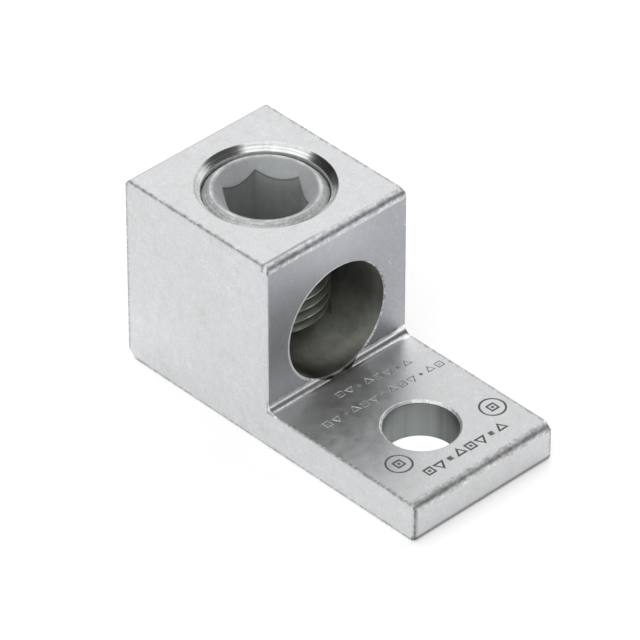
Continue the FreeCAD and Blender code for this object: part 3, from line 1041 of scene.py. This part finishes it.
def tin_plate():
    """The lug's finish: clouded tin plate, worn along its edges and darkened there as painted
    shade, with its cut bores.

    The colours are laid over one another, so their order counts.
    """
    material, graph, shader, place = new_material("tin_plate")
    at = lug_regions(graph, place)
    colour = plate_colour(graph, at)
    for laid_over in (
        edge_colour, corner_colour, hollow_colour, painted_highlight_colour,
        bore_colour, bolt_colour, sink_colour,
    ):
        colour = laid_over(graph, at, colour)
    graph.put(shader.inputs["Base Color"], colour)
    graph.put(shader.inputs["Roughness"], lug_roughness(graph, at))
    shader.inputs["Metallic"].default_value = 1.0

    beaten = graph.blend(at.rounded, at.clouds["Grain"], graph.product(at.beads, 7.0))
    height = graph.blend(at.in_cut, beaten, at.rings)
    height = graph.blend(at.sink, height, at.turned)
    add_relief(graph, shader, height, 0.006 * MM)
    return material


RIM_METAL = (0.56, 0.57, 0.57)
DISH_METAL = (0.59, 0.61, 0.62)
SOCKET_METAL = (0.47, 0.485, 0.475)
THREAD_METAL = (0.40, 0.41, 0.38)


def screw_plate():
    """The screw's finish: a bright rim, a matt dish, a dark socket with broach lines and a painted
    dark outline at its mouth, and threads with painted shade in their roots and painted light on
    their crests.

    Regions come from the distance from the screw's axis and the height above its foot.
    """
    material, graph, shader, place = new_material("screw_plate")
    x, y, z = graph.apart(place)
    across = graph.minus(x, SCREW_X)
    height = graph.minus(z, SCREW_FOOT)
    from_axis = graph.reach(across, y)
    clouds = graph.group(mottle, Place=place, Scale=420.0, Depth=0.7)
    beads = graph.noise(graph.mapped(place, (1500, 1500, 1500)), 1.0, 3.0, 0.8)
    angle = graph.math("ARCTAN2", y, across)
    bands = graph.noise(graph.gathered(X=angle, Y=graph.product(height, 20.0)), 7.0, 3.0, 0.6)

    top = graph.span(height, SCREW_LENGTH - 1.4 * MM, SCREW_LENGTH - 1.3 * MM)
    on_rim = graph.span(height, SCREW_LENGTH - 0.05 * MM, SCREW_LENGTH - 0.02 * MM)
    bevel = graph.product(top, graph.span(from_axis, RIM_RADIUS, RIM_RADIUS + 0.05 * MM))
    inside = graph.product(
        graph.inside(from_axis, DISH_RADIUS, -0.02, 0.02), graph.step(height, 5, 5.5)
    )
    cone_tip = SCREW_LENGTH - DISH_RADIUS * DISH_SLOPE
    dish = graph.math("MULTIPLY_ADD", from_axis, DISH_SLOPE, cone_tip)
    below_dish = graph.minus(dish, height)
    socket = graph.product(inside, graph.step(below_dish, 0.03, 0.1))

    # Painted shade in the thread's roots and painted light on its crests.
    crest_light_root_shade = graph.span(from_axis, CREST_RADIUS - GROOVE_DEPTH, CREST_RADIUS, 0.4, 1.4)
    colour = graph.tint(top, graph.shade(THREAD_METAL, crest_light_root_shade), RIM_METAL)
    rim_tone = graph.product(
        graph.span(graph.noise(graph.gathered(X=angle), 1.7, 3.0, 0.6), 0.3, 0.65, 0.7, 1.25),
        graph.span(from_axis, DISH_RADIUS + 0.15 * MM, DISH_RADIUS + 0.3 * MM, 0.75, 1.0),
    )
    colour = graph.toned(colour, graph.product(top, on_rim), rim_tone)
    lines = graph.group(cut_lines, Place=place, Along=from_axis, Pitch=0.34 * MM, Shake=0.9)
    bevel_tone = graph.product(
        graph.span(beads, *SPREAD, 0.98, 1.3), graph.span(lines["Line"], 0.0, 1.0, 0.86, 1.1)
    )
    colour = graph.toned(colour, bevel, bevel_tone)
    colour = graph.tint(inside, colour, DISH_METAL)
    colour = graph.tint(socket, colour, SOCKET_METAL)
    colour = graph.shade(colour, clouds["Tone"])
    # Broach bands, and painted shade just inside the socket's mouth.
    socket_tone = graph.product(
        graph.span(bands, *SPREAD, 0.97, 1.03), graph.step(below_dish, 0.1, 0.55, 0.7, 1.0)
    )
    colour = graph.toned(colour, socket, socket_tone)
    graph.put(shader.inputs["Base Color"], colour)

    rough = graph.blend(bevel, 0.42, 0.6)
    rough = graph.blend(inside, rough, 0.8)
    rough = graph.blend(socket, rough, 0.7)
    graph.put(shader.inputs["Roughness"], graph.math("MULTIPLY_ADD", clouds["Clouds"], 0.06, rough))
    shader.inputs["Metallic"].default_value = 1.0
    turned = graph.group(cut_lines, Place=place, Along=from_axis, Pitch=0.14 * MM, Shake=0.5)
    relief = graph.blend(socket, turned["Line"], graph.product(bands, 0.4))
    add_relief(graph, shader, graph.blend(0.5, relief, clouds["Grain"]), 0.007 * MM)
    return material


lug_finish = tin_plate()
lug.data.materials.append(lug_finish)
tapped_thread.data.materials.append(lug_finish)
screw.data.materials.append(screw_plate())


# Studio

FLOOR_REACH = 4.0
FLOOR_GAP = 0.02 * MM
FLOOR_GLOW = 0.33
HOLE_GLOW = 0.35
# The light of the room: its own level, and broad patches over it. Each patch is a direction by
# azimuth and elevation, the angles from it at which the patch is full and gone, and its level.
BASE_LEVEL = 0.1
PATCHES = (
    ((278, 53), 47, 60, 1.3),
    ((118, 26), 40, 52, 1.05),
    ((31, 39), 18, 28, 0.09),
    ((214, 22), 20, 30, 0.03),
    ((316, 36), 9, 17, 0.5),
    ((33, 3), 7, 13, 1.2),
)


def add_floor():
    """A level square just under the lug, pale for the eye and for what the metal reflects.

    It shines a little by itself, and more where the camera sees it through the bolt hole.
    """
    corners = np.array([(-1, -1), (1, -1), (1, 1), (-1, 1)]) * FLOOR_REACH
    mesh = bpy.data.meshes.new("floor")
    mesh.from_pydata([(x, y, LUG_LOW.z - FLOOR_GAP) for x, y in corners], [], [(0, 1, 2, 3)])
    floor = add_piece("floor", mesh)
    material, graph, shader, place = new_material("studio_floor")
    shader.inputs["Base Color"].default_value = (0.9, 0.9, 0.9, 1)
    shader.inputs["Roughness"].default_value = 0.9
    shader.inputs["Specular IOR Level"].default_value = 0.0
    path = graph.node("LightPath")
    seen = graph.math("MAXIMUM", path.outputs["Is Camera Ray"], path.outputs["Is Glossy Ray"])
    shader.inputs["Emission Color"].default_value = (1, 1, 1, 1)
    from_bolt = graph.reach(*graph.apart(place)[:2])
    under_hole = graph.span(from_bolt, BOLT_RADIUS, BOLT_RADIUS * 1.1, HOLE_GLOW, 0.0)
    under_hole = graph.product(under_hole, path.outputs["Is Camera Ray"])
    glow = graph.math("MULTIPLY_ADD", seen, FLOOR_GLOW, under_hole)
    graph.put(shader.inputs["Emission Strength"], glow)
    floor.data.materials.append(material)


def add_world():
    """A dark room with one broad lamp high on the left, one behind the lug, and smaller patches."""
    world = bpy.data.worlds.new("studio")
    bpy.context.scene.world = world
    world.use_nodes = True
    graph = Graph(world.node_tree)
    background = world.node_tree.nodes["Background"]
    outward = graph.node("TexCoord").outputs["Generated"]
    level = BASE_LEVEL
    for (azimuth, elevation), full, gone, patch_level in PATCHES:
        turn, rise = math.radians(azimuth), math.radians(elevation)
        dot = graph.node("VectorMath", operation="DOT_PRODUCT")
        graph.put(dot.inputs[0], outward)
        dot.inputs[1].default_value = (
            math.cos(turn) * math.cos(rise),
            math.sin(turn) * math.cos(rise),
            math.sin(rise),
        )
        cosines = [math.cos(math.radians(angle)) for angle in (gone, full)]
        level = graph.blend(graph.span(dot.outputs["Value"], *cosines), level, patch_level)
    seen = graph.node("LightPath").outputs["Is Camera Ray"]
    graph.put(background.inputs["Strength"], graph.blend(seen, level, 1.0))
    background.inputs["Color"].default_value = (1, 1, 1, 1)


def add_camera():
    """The photograph's view: a long lens, turned by azimuth, elevation and a slight roll."""
    back = Vector((
        math.sin(CAMERA_AZIMUTH) * math.cos(CAMERA_ELEVATION),
        -math.cos(CAMERA_AZIMUTH) * math.cos(CAMERA_ELEVATION),
        math.sin(CAMERA_ELEVATION),
    ))
    level_right = Vector((math.cos(CAMERA_AZIMUTH), math.sin(CAMERA_AZIMUTH), 0))
    level_up = back.cross(level_right)
    right = level_right * math.cos(CAMERA_ROLL) + level_up * math.sin(CAMERA_ROLL)
    up = level_up * math.cos(CAMERA_ROLL) - level_right * math.sin(CAMERA_ROLL)
    data = bpy.data.cameras.new("camera")
    data.lens = CAMERA_LENS
    data.clip_end = 20
    camera = bpy.data.objects.new("camera", data)
    place = CAMERA_AIM + right * AIM_SHIFT_RIGHT + up * AIM_SHIFT_UP + back * CAMERA_DISTANCE
    turn = Matrix((right, up, back)).transposed().to_4x4()
    camera.matrix_world = Matrix.Translation(place) @ turn
    bpy.context.scene.collection.objects.link(camera)
    bpy.context.scene.camera = camera


add_floor()
add_world()
add_camera()
bpy.context.scene.view_settings.view_transform = "Standard"
